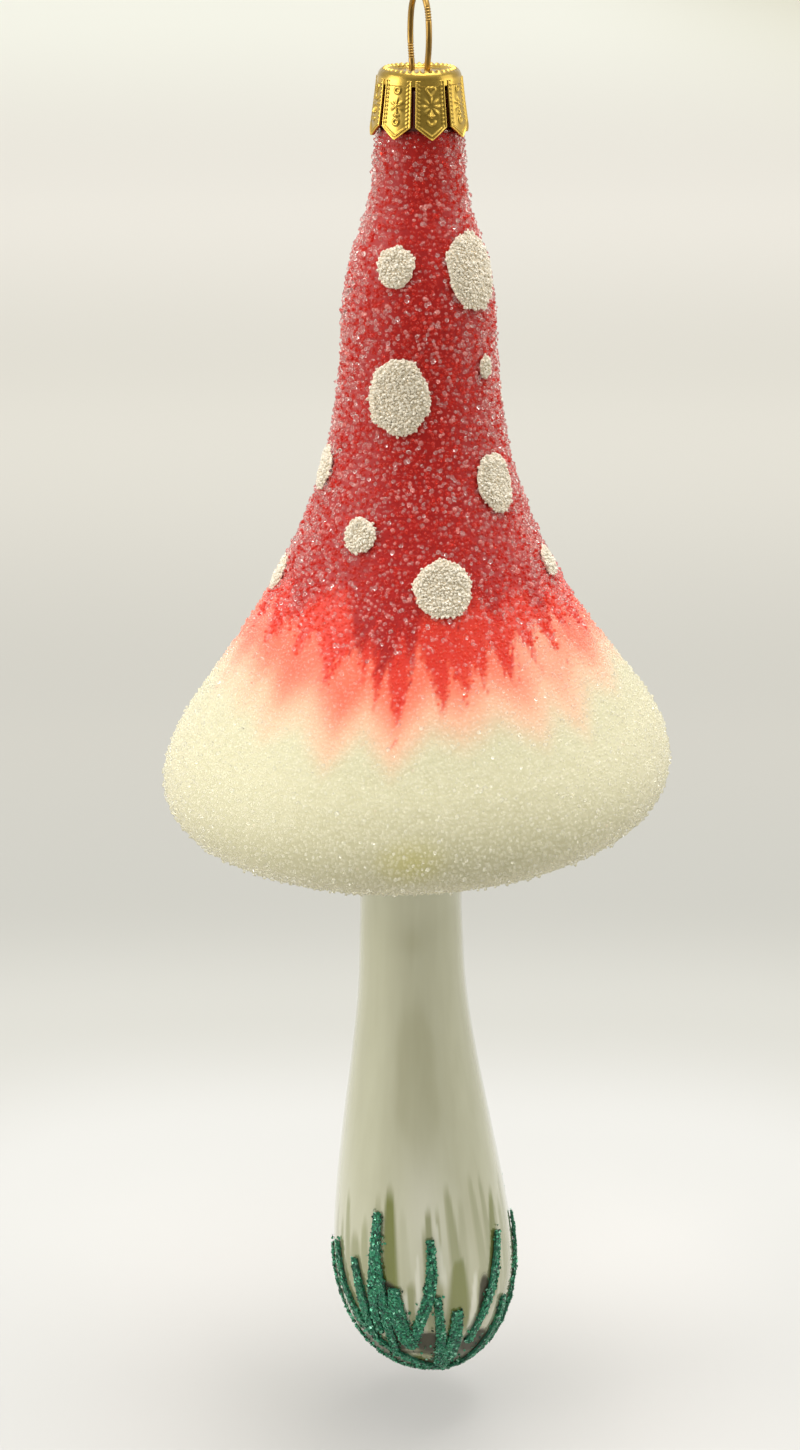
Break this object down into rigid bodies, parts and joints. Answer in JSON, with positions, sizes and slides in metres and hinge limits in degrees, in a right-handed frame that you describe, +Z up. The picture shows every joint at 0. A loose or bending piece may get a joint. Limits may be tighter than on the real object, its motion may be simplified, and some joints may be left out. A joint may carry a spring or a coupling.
{
  "type": "hanging glass mushroom ornament",
  "caption": "Tall blown-glass fly agaric ornament with a grain-coated red and cream bell, white spots, a glossy stem with green glitter at its foot, and a gold cap with a wire loop.",
  "frame": {"origin": "the inner top of the wire loop, where a hook bears", "axes": "+Z up along the neck, -Y is the front, +X to its right; the ornament hangs below the origin"},
  "size_m": [0.0631, 0.0632, 0.1824],
  "materials": {
    "lacquered_glass": "blown glass with a glossy pearl cream lacquer and air-brushed green blades at the foot",
    "grain_coat": "clear glass grains over paint that runs from deep red through coral to cream",
    "gold_cap": "thin stamped sheet, bright gold lacquer",
    "gold_wire": "drawn spring wire, gold coated",
    "white_grains": "dense fine white glass grains in glue",
    "green_glitter": "coarse emerald glitter flakes in clear glue"
  },
  "bodies": {
    "root": {"glass_body": "lacquered_glass", "bead_frosting": "grain_coat", "crown_cap": "gold_cap", "hanger_wire": "gold_wire", "white_spot_01": "white_grains", "white_spot_02": "white_grains", "white_spot_03": "white_grains", "white_spot_04": "white_grains", "white_spot_05": "white_grains", "white_spot_06": "white_grains", "white_spot_07": "white_grains", "white_spot_08": "white_grains", "white_spot_09": "white_grains", "white_spot_10": "white_grains", "white_spot_11": "white_grains", "white_spot_12": "white_grains", "white_spot_13": "white_grains", "white_spot_14": "white_grains", "white_spot_15": "white_grains", "white_spot_16": "white_grains", "white_spot_17": "white_grains", "white_spot_18": "white_grains", "glitter_tuft_01": "green_glitter", "glitter_tuft_02": "green_glitter", "glitter_tuft_03": "green_glitter", "glitter_tuft_04": "green_glitter", "glitter_tuft_05": "green_glitter", "glitter_tuft_06": "green_glitter", "glitter_tuft_07": "green_glitter", "glitter_tuft_08": "green_glitter"}
  },
  "joints": []
}
